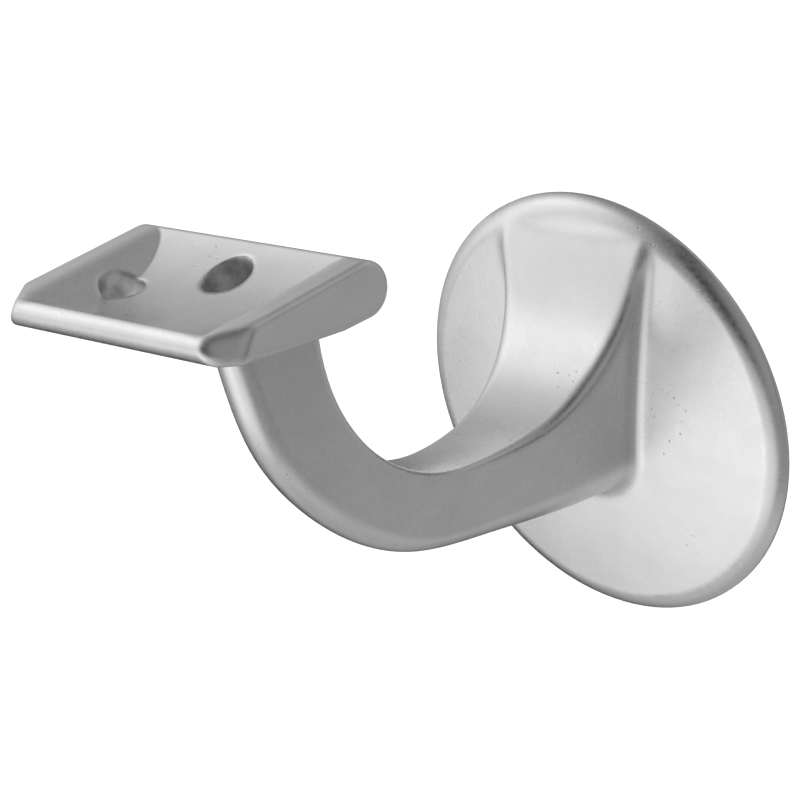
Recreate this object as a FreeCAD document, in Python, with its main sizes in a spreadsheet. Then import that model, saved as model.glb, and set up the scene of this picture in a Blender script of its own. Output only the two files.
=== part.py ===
import FreeCAD, Part
import math
import os
import Sketcher
from FreeCAD import Placement, Rotation, Vector

# Handrail bracket: one aluminium casting made of a round wall rose, a swept arm and a rail saddle.
# Origin: centre of the rose's flat back. The wall is the plane Y = 0, the bracket stands out along
# -Y, the rail runs along X and Z is up. Sizes are in millimetres and degrees.

NODE = "bracket_casting"

SIZES = {
    # rose that stands against the wall
    "rose_radius": 35.0,
    "rose_land": 0.5,
    "rose_rim_radius": 4.4,
    "rose_crown_radius": 270.0,
    "rose_height": 4.35,
    # blind threaded hole in the back of the rose
    "thread_bore": 6.8,
    "thread_depth": 16.0,
    # inner face of the arm: bend under the saddle, then scoop up to the rose
    "bend_reach": 34.0,
    "bend_height": 33.8,
    "bend_radius": 28.0,
    "scoop_reach": 29.0,
    "scoop_drop": 4.0,
    "scoop_radius": 25.2,
    # section of the arm
    "neck_half_width": 6.0,
    "straight_half_width": 7.3,
    "scoop_flare": 0.185,
    "neck_taper": 14.0,
    # saddle plate under the rail
    "saddle_length": 45.0,
    "back_round_reach": 67.4,
    "back_round_height": 46.45,
    "back_round_radius": 3.85,
    "nose_reach": 91.6,
    "nose_height": 46.9,
    "nose_radius": 2.1,
    "knee_reach": 72.4,
    "corner_cut": 3.9,
    "corner_lean": 38.0,
    "saddle_edge_radius": 1.0,
    # seat for the round rail, with a sloping face at each end
    "rail_radius": 26.5,
    "rail_reach": 80.84,
    "rail_height": 72.72,
    "seat_floor_length": 25.6,
    "seat_end_slope": 34.6,
    "seat_rim_radius": 6.0,
    # screw holes in the saddle
    "screw_bore": 6.2,
    "screw_side": 12.6,
    "screw_reach": 79.4,
    "pilot_bore": 7.4,
    "pilot_side": 1.3,
    "pilot_reach": 72.6,
    "pilot_floor_height": 43.3,
    "drill_start_height": 54.0,
    # blends
    "root_radius": 1.8,
    "junction_radius": 2.0,
}

# Arm sections from the saddle to the rose: inner point (reach, height) or its angle on the bend or
# scoop, outer point (reach, height), edge radius, and along the scoop the taper of the sides. The inner
# points at the root are a reach and a drop below the rose's top.
NECK_TOP = ((63.9, 45.6), (76.4, 45.6), 0.8)
NECK_HEAD = ((62.4, 42.0), (76.0, 42.0), 0.8)
NECK = ((62.0, 38.0), (75.6, 38.0), 0.8)
BEND = (
    (180.0, (75.0, 33.6), 0.8),
    (198.0, (72.3, 21.3), 0.8),
    (216.0, (66.2, 10.4), 0.8),
    (234.0, (57.5, 1.4), 0.8),
    (252.0, (46.6, -5.0), 0.8),
    (270.0, (34.0, -8.2), 0.9),
)
SCOOP = (
    (-90.0, (28.3, -9.25), 1.1, 13.2),
    (-75.0, (21.6, -10.5), 1.4, 12.3),
    (-60.0, (15.6, -11.5), 1.6, 11.4),
    (-45.0, (10.8, -12.1), 1.7, 10.6),
    (-30.0, (7.2, -12.5), 1.6, 10.0),
    (-18.0, (5.2, -12.7), 1.4, 9.6),
)
ROOT = (
    (3.35, 7.3, (3.3, -12.8), 1.3, 1.1),
    (1.5, 4.1, (1.2, -12.9), 1.2, 1.2),
)
ROOT_TAPER = 9.4

doc = FreeCAD.newDocument("handrail_bracket")
sheet = doc.addObject("Spreadsheet::Sheet", "sizes")
for row, (alias, value) in enumerate(SIZES.items(), start=1):
    sheet.set(f"A{row}", alias)
    sheet.set(f"B{row}", str(value))
    sheet.setAlias(f"B{row}", alias)
doc.recompute()


def base_plane(body, role):
    """Return the body's own origin plane with the given role."""
    return next(item for item in body.Origin.OriginFeatures if item.Role == role)


def new_sketch(body, name, role, offset=None):
    """Add a sketch to the body, flat on one of its origin planes."""
    sketch = body.newObject("Sketcher::SketchObject", name)
    sketch.AttachmentSupport = [(base_plane(body, role), "")]
    sketch.MapMode = "FlatFace"
    if offset is not None:
        sketch.AttachmentOffset = offset
    return sketch


def line(sketch, start, end):
    """Add a straight edge and return its number."""
    return sketch.addGeometry(Part.LineSegment(Vector(*start, 0), Vector(*end, 0)), False)


def arc(sketch, centre, radius, first, last):
    """Add an arc that runs counter-clockwise between two angles in degrees."""
    circle = Part.Circle(Vector(*centre, 0), Vector(0, 0, 1), radius)
    span = Part.ArcOfCircle(circle, math.radians(first), math.radians(last))
    return sketch.addGeometry(span, False)


def tie(sketch, label, constraint, expression):
    """Add a named dimension and bind it to the sheet."""
    sketch.addConstraint(constraint)
    sketch.renameConstraint(sketch.ConstraintCount - 1, label)
    sketch.setExpression(f"Constraints.{label}", expression)


def join(sketch, pairs):
    """Make pairs of edge ends coincide; 1 is an edge's start and 2 its end."""
    for first, first_end, second, second_end in pairs:
        sketch.addConstraint(Sketcher.Constraint("Coincident", first, first_end, second, second_end))


def settle(feature):
    """Recompute and return the volume that the body has with this feature."""
    doc.recompute()
    return feature.Shape.Volume


def edges_where(feature, test):
    """Name the feature's edges whose middle point and length pass the test."""
    names = []
    for number, edge in enumerate(feature.Shape.Edges, start=1):
        middle = edge.valueAt(edge.getParameterByLength(edge.Length / 2))
        if test(middle, edge):
            names.append(f"Edge{number}")
    return names


def section(body, name, inner, outer, half_width, taper, edge_radius):
    """Draw one arm section: wide inner face, tapering sides and a full-round nose."""
    reach = outer[0] - inner[0]
    rise = outer[1] - inner[1]
    turn = math.degrees(math.atan2(rise, -reach))
    place = Placement(Vector(0, -inner[0], inner[1]), Rotation(Vector(1, 0, 0), turn))
    sketch = new_sketch(body, name, "XY_Plane", place)
    depth = math.hypot(reach, rise)
    slope = math.radians(taper)
    nose = (half_width - depth * math.tan(slope)) * math.cos(slope) / (1 - math.sin(slope))
    trim = edge_radius / math.tan((math.pi / 2 - slope) / 2)
    flat = half_width - trim
    corner = (flat + edge_radius * math.cos(slope), edge_radius * (1 + math.sin(slope)))
    low = (nose * math.cos(slope), depth - nose + nose * math.sin(slope))
    line(sketch, (-flat, 0), (flat, 0))
    arc(sketch, (flat, edge_radius), edge_radius, -90, taper)
    line(sketch, corner, low)
    arc(sketch, (0, depth - nose), nose, taper, 180 - taper)
    line(sketch, (-low[0], low[1]), (-corner[0], corner[1]))
    arc(sketch, (-flat, edge_radius), edge_radius, 180 - taper, 270)
    join(sketch, ((0, 2, 1, 1), (1, 2, 2, 1), (2, 2, 3, 1), (3, 2, 4, 1), (4, 2, 5, 1), (5, 2, 0, 1)))
    return sketch


# Body and rose: a round disc with a rolled rim and a slightly crowned face
casting = doc.addObject("PartDesign::Body", "BracketCasting")
casting.Label = NODE

rose = new_sketch(casting, "RoseProfile", "XY_Plane")
edge = SIZES["rose_radius"]
land = SIZES["rose_land"]
rim = SIZES["rose_rim_radius"]
crown = SIZES["rose_crown_radius"]
height = SIZES["rose_height"]
crown_y = crown - height
gap = math.hypot(edge, crown_y + land)
reach = ((crown - rim) ** 2 - rim ** 2 + gap ** 2) / (2 * gap)
offset = math.sqrt((crown - rim) ** 2 - reach ** 2)
toward = (edge / gap, -(crown_y + land) / gap)
rim_x = reach * toward[0] + offset * toward[1]
rim_y = crown_y + reach * toward[1] - offset * toward[0]
tilt = math.degrees(math.atan2(rim_x, crown_y - rim_y))
stop = math.degrees(math.atan2(-land - rim_y, edge - rim_x))
line(rose, (0, 0), (edge, 0))
line(rose, (edge, 0), (edge, -land))
arc(rose, (rim_x, rim_y), rim, 270 + tilt, 360 + stop)
arc(rose, (0, crown_y), crown, 270, 270 + tilt)
line(rose, (0, -height), (0, 0))
join(rose, ((0, 2, 1, 1), (1, 2, 2, 2), (3, 1, 4, 1), (4, 2, 0, 1)))
rose.addConstraint(Sketcher.Constraint("Coincident", 0, 1, -1, 1))
rose.addConstraint(Sketcher.Constraint("Horizontal", 0))
rose.addConstraint(Sketcher.Constraint("Vertical", 1))
rose.addConstraint(Sketcher.Constraint("Vertical", 4))
rose.addConstraint(Sketcher.Constraint("Tangent", 2, 1, 3, 2))
rose.addConstraint(Sketcher.Constraint("PointOnObject", 3, 3, -2))
tie(rose, "RimRadius", Sketcher.Constraint("Radius", 2, rim), "sizes.rose_rim_radius")
tie(rose, "CrownRadius", Sketcher.Constraint("Radius", 3, crown), "sizes.rose_crown_radius")
tie(rose, "RoseRadius", Sketcher.Constraint("DistanceX", 0, 1, 0, 2, edge), "sizes.rose_radius")
tie(rose, "Land", Sketcher.Constraint("DistanceY", 1, 2, 1, 1, land), "sizes.rose_land")
tie(rose, "Height", Sketcher.Constraint("DistanceY", 4, 1, 4, 2, height), "sizes.rose_height")
rose_disc = casting.newObject("PartDesign::Revolution", "RoseDisc")
rose_disc.Profile = rose
rose_disc.ReferenceAxis = (rose, ["V_Axis"])
rose_disc.Angle = 360
settle(rose_disc)

# Arm: sections that lean with the bend and open out along the scoop
neck_width = SIZES["neck_half_width"]
rose_top = SIZES["rose_radius"]
scoop_height = rose_top - SIZES["scoop_drop"]
stations = [
    (*NECK_TOP, neck_width, SIZES["neck_taper"]),
    (*NECK_HEAD, neck_width, SIZES["neck_taper"]),
    (*NECK, neck_width, SIZES["neck_taper"]),
]
for angle, outer, radius in BEND:
    turn = math.radians(angle)
    inner = (
        SIZES["bend_reach"] - SIZES["bend_radius"] * math.cos(turn),
        SIZES["bend_height"] + SIZES["bend_radius"] * math.sin(turn),
    )
    width = neck_width + (0.6 if angle == BEND[-1][0] else 0.0)
    stations.append((inner, outer, radius, width, SIZES["neck_taper"]))
for angle, outer, radius, taper in SCOOP:
    turn = math.radians(angle)
    inner = (
        SIZES["scoop_reach"] - SIZES["scoop_radius"] * math.cos(turn),
        scoop_height + SIZES["scoop_radius"] * math.sin(turn),
    )
    run = SIZES["scoop_radius"] * (turn + math.pi / 2)
    width = SIZES["straight_half_width"] + SIZES["scoop_flare"] * run
    stations.append((inner, outer, radius, width, taper))
for reach, drop, outer, radius, extra in ROOT:
    stations.append(((reach, rose_top - drop), outer, radius, width + extra, ROOT_TAPER))
profiles = []
for number, (inner, outer, radius, width, taper) in enumerate(stations):
    profiles.append(section(casting, f"ArmSection{number}", inner, outer, width, taper, radius))
arm = casting.newObject("PartDesign::AdditiveLoft", "Arm")
arm.Profile = profiles[0]
arm.Sections = profiles[1:]
arm.Ruled = False
settle(arm)

# Blend where the arm's sides and nose run into the rose
root_edges = edges_where(
    arm,
    lambda middle, edge: -7.5 < middle.y < -2.0
    and abs(middle.x) < 16
    and middle.z < 25.5
    and edge.Length < 60
    and not (abs(middle.x) < 1 and middle.z > 0),
)
root_blend = casting.newObject("PartDesign::Fillet", "RootBlend")
root_blend.Base = (arm, root_edges)
root_blend.setExpression("Radius", "sizes.root_radius")
settle(root_blend)

# Saddle plate: bull nose in front, full round at the back, sloping under the front
saddle = new_sketch(casting, "SaddleProfile", "YZ_Plane")
back = (-SIZES["back_round_reach"], SIZES["back_round_height"])
front = (-SIZES["nose_reach"], SIZES["nose_height"])
back_radius = SIZES["back_round_radius"]
front_radius = SIZES["nose_radius"]
span = math.hypot(back[0] - front[0], back[1] - front[1])
lean = math.atan2(back[1] - front[1], back[0] - front[0])
normal = math.degrees(lean + math.pi / 2 + math.asin((back_radius - front_radius) / span))


def on_round(centre, radius, angle):
    """Return the point of a circle at an angle in degrees."""
    turn = math.radians(angle)
    return (centre[0] + radius * math.cos(turn), centre[1] + radius * math.sin(turn))


floor = back[1] - back_radius
knee = (-SIZES["knee_reach"], floor)
sight = math.hypot(front[0] - knee[0], front[1] - knee[1])
aim = math.atan2(front[1] - knee[1], front[0] - knee[0])
under = 90 + math.degrees(aim + math.asin(front_radius / sight))
heel = on_round(front, front_radius, under)
arc(saddle, back, back_radius, -90, normal)
line(saddle, on_round(back, back_radius, normal), on_round(front, front_radius, normal))
arc(saddle, front, front_radius, normal, under)
line(saddle, heel, knee)
line(saddle, knee, (back[0], floor))
join(saddle, ((0, 2, 1, 1), (1, 2, 2, 1), (2, 2, 3, 1), (3, 2, 4, 1), (4, 2, 0, 1)))
tie(saddle, "BackRadius", Sketcher.Constraint("Radius", 0, back_radius), "sizes.back_round_radius")
tie(saddle, "NoseRadius", Sketcher.Constraint("Radius", 2, front_radius), "sizes.nose_radius")
saddle_pad = casting.newObject("PartDesign::Pad", "SaddlePlate")
saddle_pad.Profile = saddle
saddle_pad.SideType = "Symmetric"
saddle_pad.setExpression("Length", "sizes.saddle_length")
settle(saddle_pad)

# Blend where the neck meets the underside and back of the plate
junction_edges = edges_where(
    saddle_pad,
    lambda middle, edge: floor - 0.6 < middle.z < floor + 3
    and abs(middle.x) < 7
    and -77 < middle.y < -63
    and edge.Length < 12,
)
junction = casting.newObject("PartDesign::Fillet", "NeckBlend")
junction.Base = (saddle_pad, junction_edges)
junction.setExpression("Radius", "sizes.junction_radius")
settle(junction)

# The plate's two front corners are cut back by planes that lean over the top, then every end edge is
# rounded. The cuts are drawn on a plane that leans too and touches the nose.
end_x = SIZES["saddle_length"] / 2
cut = SIZES["corner_cut"]
lean_back = math.radians(SIZES["corner_lean"])
touch = on_round(front, front_radius, 180 - SIZES["corner_lean"])
corner_place = Placement(Vector(0, *touch), Rotation(Vector(1, 0, 0), -SIZES["corner_lean"]))
corner_sketch = new_sketch(casting, "CornerCuts", "XY_Plane", corner_place)
for side in (-1, 1):
    start = corner_sketch.GeometryCount
    outside = (side * (end_x + 2), -2)
    along_front = (side * (end_x - cut - 2), -2)
    along_end = (side * (end_x + 2), cut + 2)
    line(corner_sketch, outside, along_front)
    line(corner_sketch, along_front, along_end)
    line(corner_sketch, along_end, outside)
    join(corner_sketch, ((start, 2, start + 1, 1), (start + 1, 2, start + 2, 1), (start + 2, 2, start, 1)))
corners = casting.newObject("PartDesign::Pocket", "CornerPocket")
corners.Profile = corner_sketch
corners.Type = "ThroughAll"
corners.SideType = "Symmetric"
if settle(corners) >= junction.Shape.Volume:
    raise RuntimeError("the corner cuts removed nothing")


def on_corner_cut(point):
    """Tell whether a point lies on one of the two leaning corner planes."""
    depth = (point.y - touch[0]) * math.cos(lean_back) - (point.z - touch[1]) * math.sin(lean_back)
    return abs(abs(point.x) - depth - end_x + cut) < 0.01


end_edges = edges_where(
    corners,
    lambda middle, edge: abs(abs(middle.x) - end_x) < 0.01
    or (on_corner_cut(middle) and abs(middle.x) > end_x / 2 and middle.y < -SIZES["knee_reach"]),
)
saddle_ends = casting.newObject("PartDesign::Fillet", "SaddleEnds")
saddle_ends.Base = (corners, end_edges)
saddle_ends.setExpression("Radius", "sizes.saddle_edge_radius")
settle(saddle_ends)

# Seat: the round rail's own cylinder, stopped by a sloping face at each end
rail_y = -SIZES["rail_reach"]
rail_z = SIZES["rail_height"]
rail_radius = SIZES["rail_radius"]
rail = doc.addObject("Part::Cylinder", "RailCylinder")
rail.Height = 80
rail.setExpression("Radius", "sizes.rail_radius")
rail.Placement = Placement(Vector(-40, rail_y, rail_z), Rotation(Vector(0, 1, 0), 90))
ends = doc.addObject("PartDesign::Body", "SeatEnds")
tilt = normal - 90
top_point = on_round(back, back_radius, normal)
wedge = new_sketch(
    ends,
    "SeatEndProfile",
    "XY_Plane",
    Placement(Vector(0, *top_point), Rotation(Vector(1, 0, 0), 90 + tilt)),
)
slope = math.radians(SIZES["seat_end_slope"])
seat_depth = (
    (top_point[1] - rail_z) * math.cos(math.radians(tilt))
    + (rail_y - top_point[0]) * math.sin(math.radians(tilt))
    + rail_radius
)
half_floor = SIZES["seat_floor_length"] / 2
rim_round = SIZES["seat_rim_radius"]
crest = half_floor + seat_depth / math.tan(slope)
round_x = crest + rim_round * math.tan(slope / 2)
lift = 0.01
foot = (half_floor - 2 / math.tan(slope), -seat_depth - 2)
hip = (round_x - rim_round * math.sin(slope), lift - rim_round + rim_round * math.cos(slope))
line(wedge, (-foot[0], foot[1]), foot)
line(wedge, foot, hip)
arc(wedge, (round_x, lift - rim_round), rim_round, 90, 90 + SIZES["seat_end_slope"])
line(wedge, (round_x, lift), (round_x, 12))
line(wedge, (round_x, 12), (-round_x, 12))
line(wedge, (-round_x, 12), (-round_x, lift))
arc(wedge, (-round_x, lift - rim_round), rim_round, 90 - SIZES["seat_end_slope"], 90)
line(wedge, (-hip[0], hip[1]), (-foot[0], foot[1]))
join(
    wedge,
    ((0, 2, 1, 1), (1, 2, 2, 2), (2, 1, 3, 1), (3, 2, 4, 1), (4, 2, 5, 1), (5, 2, 6, 2), (6, 1, 7, 1),
     (7, 2, 0, 1)),
)
wedge_pad = ends.newObject("PartDesign::Pad", "SeatEndWedge")
wedge_pad.Profile = wedge
wedge_pad.SideType = "Symmetric"
wedge_pad.Length = 240
settle(wedge_pad)
cutter = doc.addObject("Part::Common", "SeatCutter")
cutter.Base = rail
cutter.Tool = ends
settle(cutter)

seat = doc.addObject("Part::Cut", "SeatCut")
seat.Base = casting
seat.Tool = cutter
settle(seat)


def drill(name, x, y, z, radius, depth, turn=0.0):
    """Add a round cutter: along +Z from its lower end, or turned about X to point along -Y."""
    cutter_part = doc.addObject("Part::Cylinder", name)
    cutter_part.Placement = Placement(Vector(0, 0, 0), Rotation(Vector(1, 0, 0), turn))
    cutter_part.setExpression("Radius", radius)
    cutter_part.setExpression("Height", depth)
    cutter_part.setExpression("Placement.Base.x", x)
    cutter_part.setExpression("Placement.Base.y", y)
    cutter_part.setExpression("Placement.Base.z", z)
    return cutter_part


# Screw hole through the plate, blind hole above the neck, threaded hole in the rose's back
holes = [
    drill("ScrewHole", "-sizes.screw_side", "-sizes.screw_reach", "36 mm", "sizes.screw_bore / 2",
          "sizes.drill_start_height - 36"),
    drill("BlindHole", "sizes.pilot_side", "-sizes.pilot_reach", "sizes.pilot_floor_height",
          "sizes.pilot_bore / 2", "sizes.drill_start_height - sizes.pilot_floor_height"),
    drill("StudHole", "0 mm", "0 mm", "0 mm", "sizes.thread_bore / 2", "sizes.thread_depth", 90.0),
]
drills = doc.addObject("Part::MultiFuse", "Drills")
drills.Shapes = holes
finished = doc.addObject("Part::Cut", "Finished")
finished.Base = seat
finished.Tool = drills
casting.Label = "casting_blank"
finished.Label = NODE
doc.recompute()

for item in doc.Objects:
    if {"Invalid", "Error"} & set(item.State):
        raise RuntimeError(f"{item.Name} failed")
shape = finished.Shape
if shape.isNull() or not shape.isValid() or len(shape.Solids) != 1:
    raise RuntimeError("the casting is not one valid solid")
os.makedirs("parts", exist_ok=True)
shape.exportStep(f"parts/{NODE}.step")
print(f"{NODE}: {shape.Volume:.1f} mm3, {len(shape.Faces)} faces")
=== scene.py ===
# %% [markdown]
# # A cast handrail bracket under soft studio light
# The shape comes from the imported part. This lesson gives it a satin cast finish, a studio around it
# that the metal can reflect, a pale floor and a camera.

# %% Load the part
import bpy
from mathutils import Euler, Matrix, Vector

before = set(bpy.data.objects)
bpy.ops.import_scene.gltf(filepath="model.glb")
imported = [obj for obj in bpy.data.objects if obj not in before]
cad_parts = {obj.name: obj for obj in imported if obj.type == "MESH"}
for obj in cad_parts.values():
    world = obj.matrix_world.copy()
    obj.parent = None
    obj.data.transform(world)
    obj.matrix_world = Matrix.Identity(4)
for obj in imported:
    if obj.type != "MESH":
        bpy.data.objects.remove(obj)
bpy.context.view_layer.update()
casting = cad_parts["bracket_casting"]
print("casting has", len(casting.data.vertices), "vertices")

# %% [markdown]
# ## Camera
# The bracket is seen from its right front, a little from above, with a long lens. The camera also
# leans, so it is turned about its own line of sight by the middle of the three angles.

# %% Place the camera
camera_data = bpy.data.cameras.new("Camera")
camera = bpy.data.objects.new("Camera", camera_data)
bpy.context.scene.collection.objects.link(camera)
camera.location = (0.252366, -0.283868, 0.155416)
camera.rotation_euler = Euler((1.190674, 0.149183, 0.751155), "XYZ")
camera_data.sensor_width = 36.0
camera_data.lens = 117.0
camera_data.clip_start = 0.01
bpy.context.scene.camera = camera
print("camera is", round(camera.location.length, 3), "m from the middle of the rose")

# %% [markdown]
# ## Small helpers for node trees
# Each helper adds one node, fills its inputs and returns it, so that a material reads like a recipe.


# %% Node helpers
def add(tree, kind, x, y, **settings):
    """Add one node at a place in the tree and set its plain properties."""
    node = tree.nodes.new(kind)
    node.location = (x, y)
    for name, value in settings.items():
        setattr(node, name, value)
    return node


def link(tree, source, target):
    """Join an output socket to an input socket."""
    tree.links.new(source, target)


def lobe(tree, direction_socket, toward, start, end, x, y):
    """Return how much a direction agrees with another one: 0 below start, 1 above end, soft between.

    The agreement is the dot product of the two unit directions, the cosine of their angle.
    """
    dot = add(tree, "ShaderNodeVectorMath", x, y, operation="DOT_PRODUCT")
    dot.inputs[1].default_value = Vector(toward).normalized()
    link(tree, direction_socket, dot.inputs[0])
    soft = add(tree, "ShaderNodeMapRange", x + 180, y, interpolation_type="SMOOTHERSTEP")
    soft.inputs["From Min"].default_value = start
    soft.inputs["From Max"].default_value = end
    link(tree, dot.outputs["Value"], soft.inputs["Value"])
    return soft.outputs["Result"]


# %% [markdown]
# ## The studio that the metal reflects
# Metal shows its surroundings more than its own colour. The world is therefore a simple studio. The
# front left is bright, with a broad screen and narrower strips on it, and so is the upper left. The
# light from behind and below is weak, and the side right of the camera stays dark. Each screen fades
# out softly and the screens add up. What the camera itself sees behind the bracket is plain white.

# %% Studio world
world = bpy.data.worlds.new("Studio")
bpy.context.scene.world = world
world.use_nodes = True
studio = world.node_tree
studio.nodes.clear()
place = add(studio, "ShaderNodeTexCoord", -1400, 0)
unit = add(studio, "ShaderNodeVectorMath", -1200, 0, operation="NORMALIZE")
link(studio, place.outputs["Generated"], unit.inputs[0])
direction = unit.outputs["Vector"]

SCREENS = {
    # name: direction toward the screen, where it starts to show, brightness
    "front left": ((-0.61, -0.69, -0.38), 0.50, 0.36),
    "front left strip": ((-0.48, -0.78, -0.38), 0.87, 0.52),
    "front": ((0.10, -0.90, -0.42), 0.80, 0.52),
    "left strip": ((-0.66, -0.74, 0.10), 0.80, 0.18),
    "upper left": ((-0.62, -0.36, 0.67), 0.50, 0.31),
    "upper left strip": ((-0.62, -0.60, 0.50), 0.80, 0.14),
    "upper left spot": ((-0.64, -0.35, 0.68), 0.90, 0.37),
    "left": ((-0.95, 0.10, 0.30), 0.60, 0.44),
    "back left": ((-0.62, 0.75, -0.24), 0.50, 0.07),
    "back": ((-0.20, 0.97, 0.10), 0.55, 0.10),
    "back right": ((0.62, 0.68, -0.40), 0.60, 0.27),
    "over the wall": ((0.14, 0.69, 0.71), 0.50, 0.26),
    "over the end": ((0.42, 0.68, 0.60), 0.88, 0.10),
    "upper right": ((0.80, -0.37, 0.46), 0.70, 0.24),
    "right": ((0.95, 0.20, 0.10), 0.50, 0.07),
    "camera side": ((0.60, -0.55, -0.58), 0.60, 0.23),
    "below": ((0.03, 0.0, -1.0), 0.60, 0.36),
}
total = add(studio, "ShaderNodeValue", -900, 300)
total.outputs[0].default_value = 0.01
current = total.outputs[0]
for number, (toward, start, brightness) in enumerate(SCREENS.values()):
    amount = lobe(studio, direction, toward, start, 1.0, -1000, -250 * number)
    more = add(studio, "ShaderNodeMath", -500 + 160 * number, 200 - 120 * number, operation="MULTIPLY_ADD")
    more.inputs[1].default_value = brightness
    link(studio, amount, more.inputs[0])
    link(studio, current, more.inputs[2])
    current = more.outputs["Value"]
screens = add(studio, "ShaderNodeBackground", 1300, 0)
link(studio, current, screens.inputs["Color"])
behind = add(studio, "ShaderNodeBackground", 1300, -160)
behind.inputs["Color"].default_value = (1.0, 1.0, 1.0, 1.0)
behind.inputs["Strength"].default_value = 1.0
ray = add(studio, "ShaderNodeLightPath", 1300, 300)
choose = add(studio, "ShaderNodeMixShader", 1540, 0)
link(studio, ray.outputs["Is Camera Ray"], choose.inputs[0])
link(studio, screens.outputs["Background"], choose.inputs[1])
link(studio, behind.outputs["Background"], choose.inputs[2])
out = add(studio, "ShaderNodeOutputWorld", 1740, 0)
link(studio, choose.outputs["Shader"], out.inputs["Surface"])
print("the studio has", len(SCREENS), "screens")

# %% [markdown]
# ## Helpers for patterns
# A pattern is a number at every point of the skin. It is worked out from the object's own coordinates,
# in metres, so it stays with the part.


# %% Pattern helpers
def noise(tree, spot, scale, detail, x, y):
    """Return a soft noise between 0 and 1; its spots are about one over the scale in metres."""
    texture = add(tree, "ShaderNodeTexNoise", x, y)
    texture.inputs["Scale"].default_value = scale
    texture.inputs["Detail"].default_value = detail
    link(tree, spot, texture.inputs["Vector"])
    return texture.outputs["Fac"]


def stretch(tree, value, from_low, from_high, to_low, to_high, x, y):
    """Map a value from one range to another and keep it inside the second one."""
    ramp = add(tree, "ShaderNodeMapRange", x, y)
    ramp.inputs["From Min"].default_value = from_low
    ramp.inputs["From Max"].default_value = from_high
    ramp.inputs["To Min"].default_value = to_low
    ramp.inputs["To Max"].default_value = to_high
    link(tree, value, ramp.inputs["Value"])
    return ramp.outputs["Result"]


def combine(tree, operation, first, second, x, y):
    """Return the sum, product or largest of two values; the second one may be a plain number."""
    node = add(tree, "ShaderNodeMath", x, y, operation=operation)
    link(tree, first, node.inputs[0])
    if isinstance(second, float):
        node.inputs[1].default_value = second
    else:
        link(tree, second, node.inputs[1])
    return node.outputs["Value"]


def mix(tree, factor, low, high, x, y):
    """Return the low colour where the factor is 0 and the high colour where it is 1."""
    node = add(tree, "ShaderNodeMix", x, y, data_type="RGBA")
    link(tree, factor, node.inputs["Factor"])
    for name, colour in (("A", low), ("B", high)):
        if isinstance(colour, float):
            node.inputs[name].default_value = (colour, colour, colour, 1.0)
        else:
            link(tree, colour, node.inputs[name])
    return node.outputs["Result"]


def bump(tree, height, normal, strength, distance, x, y):
    """Tilt the surface by a height map, on top of the normal given."""
    relief = add(tree, "ShaderNodeBump", x, y)
    relief.inputs["Strength"].default_value = strength
    relief.inputs["Distance"].default_value = distance
    link(tree, height, relief.inputs["Height"])
    link(tree, normal, relief.inputs["Normal"])
    return relief.outputs["Normal"]


def around(tree, spot, centre, full, none, x, y):
    """Return 1 up to the first distance from an upright axis through the centre, and 0 past the second."""
    offset = add(tree, "ShaderNodeVectorMath", x, y, operation="SUBTRACT")
    offset.inputs[1].default_value = (*centre, 0.0)
    link(tree, spot, offset.inputs[0])
    flat = add(tree, "ShaderNodeVectorMath", x + 180, y, operation="MULTIPLY")
    flat.inputs[1].default_value = (1.0, 1.0, 0.0)
    link(tree, offset.outputs["Vector"], flat.inputs[0])
    away = add(tree, "ShaderNodeVectorMath", x + 360, y, operation="LENGTH")
    link(tree, flat.outputs["Vector"], away.inputs[0])
    return stretch(tree, away.outputs["Value"], full, none, 1.0, 0.0, x + 540, y)


# %% [markdown]
# ## Places on the casting
# Some places differ from the rest. Inside the two holes of the saddle the skin is raw. Round the holes,
# at the two cut corners and along the arm's root, hand work has left softer edges than elsewhere.

# %% Named places, in metres
EDGE = 0.0006
ROOT_BOTTOM = -0.022
SADDLE_BOTTOM = 0.039
HOLES = {
    # name: place of the axis in x and y, radius
    "screw hole": ((-0.0126, -0.0794), 0.0031),
    "blind hole": ((0.0013, -0.0726), 0.0037),
}
CORNERS = ((0.0205, -0.0905), (-0.0205, -0.0905))


def on_saddle(tree, height):
    """Return 1 on the saddle and 0 below it, from the height of the spot."""
    return stretch(tree, height, SADDLE_BOTTOM, SADDLE_BOTTOM + 0.0002, 0.0, 1.0, -2400, 200)


def inside_holes(tree, spot, saddle):
    """Return 1 on the walls and floors of the saddle's holes and 0 elsewhere."""
    screw, blind = [
        around(tree, spot, centre, radius + 0.00005, radius + 0.0001, -3300, 600 + 200 * row)
        for row, (centre, radius) in enumerate(HOLES.values())
    ]
    either = combine(tree, "MAXIMUM", screw, blind, -2400, 600)
    return combine(tree, "MULTIPLY", either, saddle, -2200, 500)


def edge_width(tree, spot, height, saddle):
    """Return how far each edge is softened: a little everywhere, and more at the named places."""
    screw, blind = [
        around(tree, spot, centre, radius + EDGE, radius + 4 * EDGE, -3300, -400 - 200 * row)
        for row, (centre, radius) in enumerate(HOLES.values())
    ]
    right, left = [
        around(tree, spot, centre, 0.003, 0.006, -3300, -800 - 200 * row)
        for row, centre in enumerate(CORNERS)
    ]
    mouth = combine(tree, "MAXIMUM", screw, blind, -2400, -400)
    mouth = combine(tree, "MULTIPLY", mouth, EDGE, -2200, -400)
    corner = combine(tree, "MAXIMUM", right, left, -2400, -800)
    corner = combine(tree, "MULTIPLY", corner, 3 * EDGE, -2200, -800)
    top = combine(tree, "MAXIMUM", mouth, corner, -2000, -600)
    top = combine(tree, "MULTIPLY", top, saddle, -1800, -600)

    at_root = around(tree, spot, (0.0, 0.0), 0.017, 0.020, -3300, -1200)
    upper = stretch(tree, height, ROOT_BOTTOM, ROOT_BOTTOM + 0.004, 0.0, 3 * EDGE, -2400, -1200)
    root = combine(tree, "MULTIPLY", at_root, upper, -2200, -1200)
    extra = combine(tree, "MAXIMUM", top, root, -1600, -900)
    return combine(tree, "ADD", extra, EDGE, -1400, -900)


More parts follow.
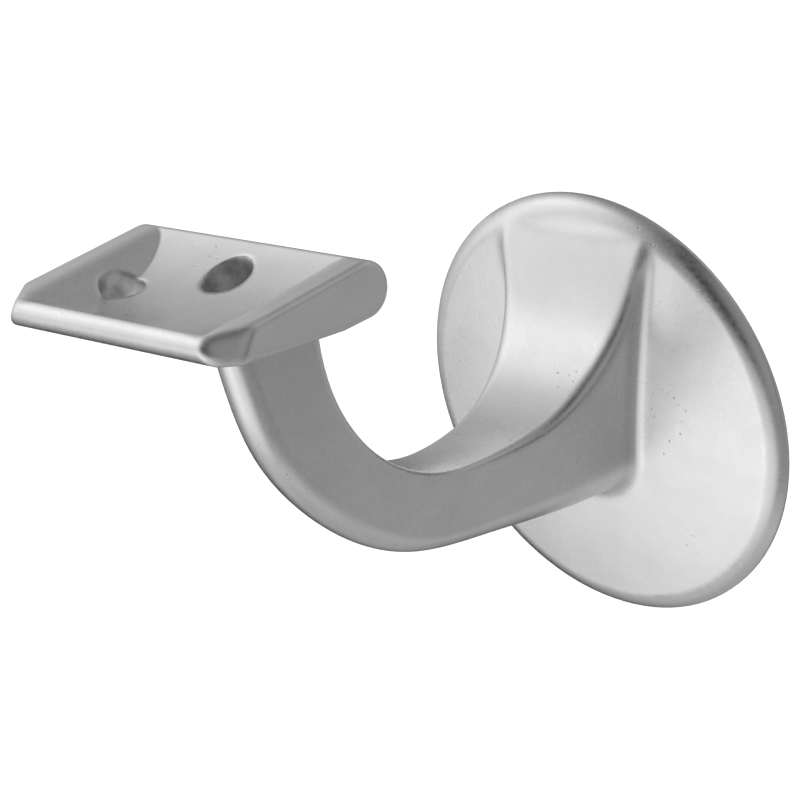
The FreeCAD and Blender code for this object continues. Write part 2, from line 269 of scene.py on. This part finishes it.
print("softened places:", 1 + len(HOLES) + len(CORNERS))

# %% [markdown]
# ## Satin cast aluminium
# Tumbling has left a faint cloudiness and a slightly uneven skin, with a fine grain and a few small
# casting pits that gather in patches.


# %% Cast metal
def cast_metal():
    """Return the material of the casting: satin metal, raw in the holes, with softened edges."""
    metal = bpy.data.materials.new("satin_cast_aluminium")
    metal.use_nodes = True
    tree = metal.node_tree
    tree.nodes.clear()
    spot = add(tree, "ShaderNodeTexCoord", -3600, 0).outputs["Object"]
    axes = add(tree, "ShaderNodeSeparateXYZ", -2700, 0)
    link(tree, spot, axes.inputs["Vector"])
    saddle = on_saddle(tree, axes.outputs["Z"])

    cloud = noise(tree, spot, 160.0, 4.0, -1400, 400)
    speck = noise(tree, spot, 1500.0, 3.0, -1400, 200)
    skin = noise(tree, spot, 420.0, 3.0, -1400, 0)
    patch = noise(tree, spot, 90.0, 1.0, -1400, -200)
    cells = add(tree, "ShaderNodeTexVoronoi", -1400, -400)
    cells.inputs["Scale"].default_value = 700.0
    link(tree, spot, cells.inputs["Vector"])

    # A pit shows where a cell's middle is near and the patch noise is high
    near = stretch(tree, cells.outputs["Distance"], 0.03, 0.15, 1.0, 0.0, -1150, -400)
    gather = stretch(tree, patch, 0.54, 0.66, 0.0, 1.0, -1150, -200)
    pit = combine(tree, "MULTIPLY", near, gather, -900, -300)
    no_pit = stretch(tree, pit, 0.0, 1.0, 1.0, 0.0, -650, -500)

    # Bright metal, a little darker in clouds and specks, and darkest in the pits
    clear = stretch(tree, cloud, 0.30, 0.70, 0.94, 1.0, -1150, 400)
    fleck = stretch(tree, speck, 0.30, 0.70, 0.94, 1.0, -1150, 200)
    shade = combine(tree, "MULTIPLY", clear, fleck, -900, 300)
    tone = combine(tree, "MULTIPLY", shade, 0.95, -750, 300)
    pitted = mix(tree, pit, tone, 0.68, -550, 300)
    satin = stretch(tree, speck, 0.30, 0.70, 0.26, 0.36, -1150, 50)

    # The holes are cast, not polished, so inside them the skin is rough and dull
    raw = inside_holes(tree, spot, saddle)
    lump = stretch(tree, skin, 0.35, 0.65, 0.60, 1.0, -900, 700)
    colour = mix(tree, raw, pitted, lump, -350, 300)
    coarser = combine(tree, "MULTIPLY", raw, 0.20, -900, 100)
    rough = combine(tree, "ADD", satin, coarser, -650, 50)

    # Softened edges first, then the uneven skin, the grain and the pits on top
    edge = add(tree, "ShaderNodeBevel", -1150, -850, samples=8)
    link(tree, edge_width(tree, spot, axes.outputs["Z"], saddle), edge.inputs["Radius"])
    uneven = bump(tree, skin, edge.outputs["Normal"], 0.25, 0.00006, -900, -850)
    grainy = bump(tree, speck, uneven, 0.35, 0.00002, -650, -850)
    dented = bump(tree, no_pit, grainy, 0.6, 0.00008, -400, -700)

    surface = add(tree, "ShaderNodeBsdfPrincipled", -100, 0)
    surface.inputs["Metallic"].default_value = 1.0
    link(tree, colour, surface.inputs["Base Color"])
    link(tree, rough, surface.inputs["Roughness"])
    link(tree, dented, surface.inputs["Normal"])
    result = add(tree, "ShaderNodeOutputMaterial", 200, 0)
    link(tree, surface.outputs["BSDF"], result.inputs["Surface"])
    return metal


casting.data.materials.clear()
casting.data.materials.append(cast_metal())
print("the casting is finished in", casting.data.materials[0].name)

# %% [markdown]
# ## Lamp and floor
# One large, weak lamp stands at the front left. The pale floor lies well below, because a wall
# bracket stands on nothing.

# %% Lamp and floor
lamp_data = bpy.data.lights.new("Key", "AREA")
lamp_data.energy = 0.2
lamp_data.size = 0.6
lamp = bpy.data.objects.new("Key", lamp_data)
bpy.context.scene.collection.objects.link(lamp)
lamp.location = (-0.55, -0.75, 0.75)
aim = Vector((0.0, -0.045, 0.0)) - lamp.location
lamp.rotation_euler = aim.to_track_quat("-Z", "Y").to_euler()

floor_mesh = bpy.data.meshes.new("floor")
reach = 3.0
low = -0.12
floor_mesh.from_pydata(
    [(-reach, -reach, low), (reach, -reach, low), (reach, reach, low), (-reach, reach, low)],
    [],
    [(0, 1, 2, 3)],
)
floor = bpy.data.objects.new("floor", floor_mesh)
bpy.context.scene.collection.objects.link(floor)
pale = bpy.data.materials.new("pale_floor")
pale.use_nodes = True
pale_tree = pale.node_tree
pale_tree.nodes.clear()
matt = add(pale_tree, "ShaderNodeBsdfDiffuse", 0, 0)
matt.inputs["Color"].default_value = (0.9, 0.9, 0.9, 1.0)
glow = add(pale_tree, "ShaderNodeEmission", 0, -160)
seen = add(pale_tree, "ShaderNodeLightPath", -500, -160)
lift = add(pale_tree, "ShaderNodeMath", -250, -160, operation="MULTIPLY")
lift.inputs[1].default_value = 0.85
link(pale_tree, seen.outputs["Is Camera Ray"], lift.inputs[0])
link(pale_tree, lift.outputs["Value"], glow.inputs["Strength"])
blend = add(pale_tree, "ShaderNodeAddShader", 260, 0)
link(pale_tree, matt.outputs["BSDF"], blend.inputs[0])
link(pale_tree, glow.outputs["Emission"], blend.inputs[1])
pale_out = add(pale_tree, "ShaderNodeOutputMaterial", 500, 0)
link(pale_tree, blend.outputs["Shader"], pale_out.inputs["Surface"])
floor_mesh.materials.append(pale)
floor.visible_glossy = False

bpy.context.scene.view_settings.view_transform = "Standard"
